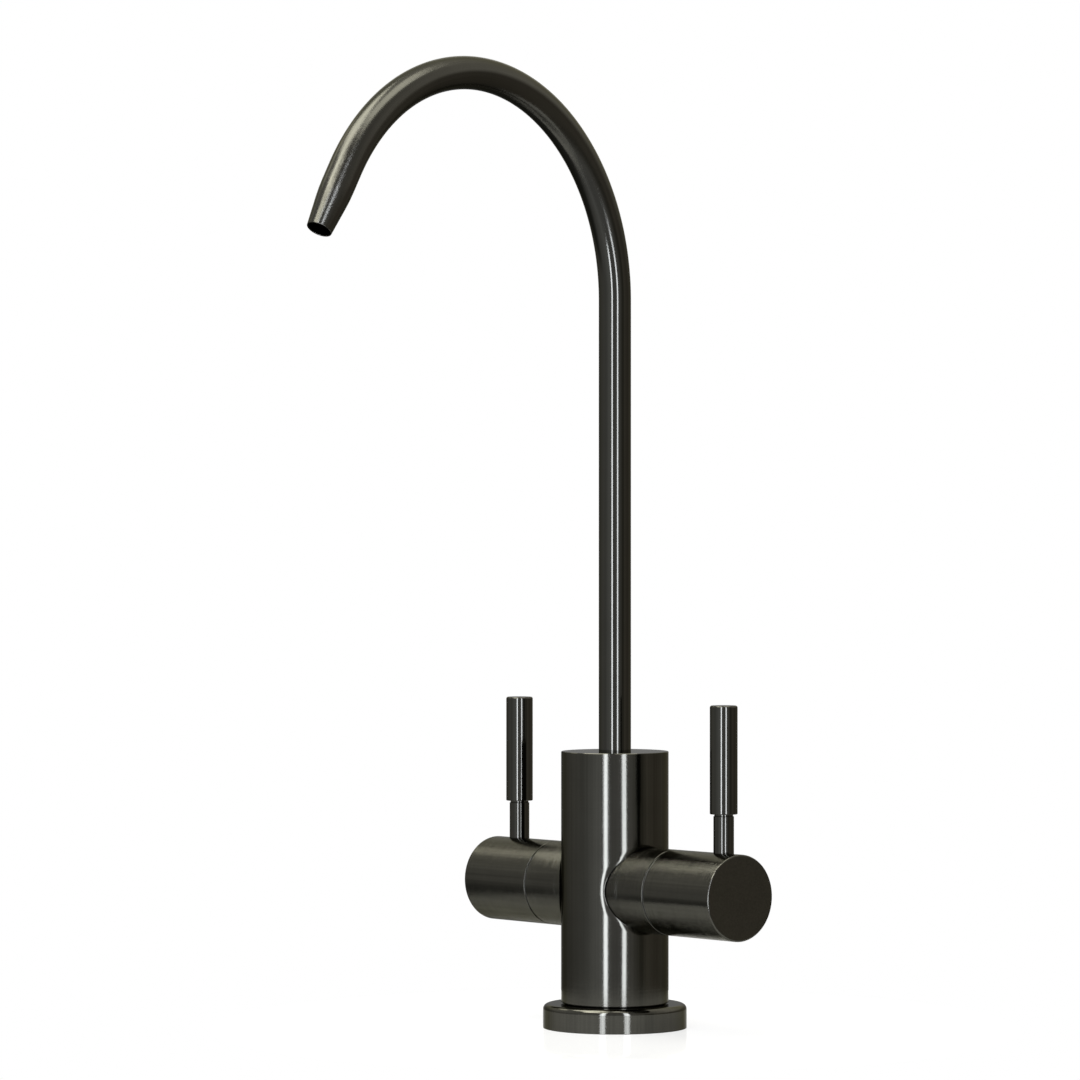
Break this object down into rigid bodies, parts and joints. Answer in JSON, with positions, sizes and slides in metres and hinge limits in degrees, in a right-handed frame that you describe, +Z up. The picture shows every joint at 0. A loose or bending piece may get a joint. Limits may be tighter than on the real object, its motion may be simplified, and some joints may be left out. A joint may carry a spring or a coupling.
{
  "type": "drinking water tap",
  "caption": "Deck-mounted drinking water tap: slim round column on a flange, side arms with upright quarter-turn levers, and a tall swivelling swan-neck spout with a tapered nozzle.",
  "frame": {"origin": "on the column's axis, at the deck under the base flange", "axes": "+Z up along the column and spout riser, X along the two side arms, -Y to the front where the spout pours"},
  "size_m": [0.1112, 0.151, 0.2845],
  "materials": {
    "brushed_gunmetal": "dark gunmetal, fine brushed satin",
    "polished_gunmetal": "dark gunmetal, polished over a fine grain",
    "plain_brass": "turned, bare",
    "plain_steel": "bare stainless steel",
    "white_ceramic": "lapped",
    "black_rubber": "matte",
    "grey_glide_plastic": "smooth, dark grey"
  },
  "bodies": {
    "tap": {"tap_body": "brushed_gunmetal", "base_flange": "brushed_gunmetal", "base_gasket": "black_rubber", "left_valve_boss": "brushed_gunmetal", "left_cartridge": "plain_brass", "left_cartridge_oring": "black_rubber", "left_seat_seal": "black_rubber", "left_fixed_disc": "white_ceramic", "left_glide_ring": "grey_glide_plastic", "right_valve_boss": "brushed_gunmetal", "right_cartridge": "plain_brass", "right_cartridge_oring": "black_rubber", "right_seat_seal": "black_rubber", "right_fixed_disc": "white_ceramic", "right_glide_ring": "grey_glide_plastic", "spout_snap_ring": "plain_steel", "spout_glide_washer": "grey_glide_plastic"},
    "left_handle": {"left_handle_hub": "brushed_gunmetal", "left_hub_grub_screw": "plain_steel", "left_lever_stem": "polished_gunmetal", "left_lever_grip": "polished_gunmetal", "left_valve_spindle": "plain_brass", "left_moving_disc": "white_ceramic", "left_spindle_oring": "black_rubber", "left_spindle_clip": "plain_steel"},
    "right_handle": {"right_handle_hub": "brushed_gunmetal", "right_hub_grub_screw": "plain_steel", "right_lever_stem": "polished_gunmetal", "right_lever_grip": "polished_gunmetal", "right_valve_spindle": "plain_brass", "right_moving_disc": "white_ceramic", "right_spindle_oring": "black_rubber", "right_spindle_clip": "plain_steel"},
    "spout": {"spout_tube": "polished_gunmetal", "spout_tail": "plain_brass", "spout_orings": "black_rubber"}
  },
  "joints": [
    {"name": "left_lever_turn", "type": "hinge", "parent": "tap", "child": "left_handle", "pos_m": [-0.0465, 0, 0.0416], "axis": [1, 0, 0], "range_deg": [0, 90]},
    {"name": "right_lever_turn", "type": "hinge", "parent": "tap", "child": "right_handle", "pos_m": [0.0465, 0, 0.0416], "axis": [1, 0, 0], "range_deg": [0, 90]},
    {"name": "spout_swivel", "type": "hinge", "parent": "tap", "child": "spout", "pos_m": [0, 0, 0.0822], "axis": [0, 0, 1], "continuous": true}
  ]
}
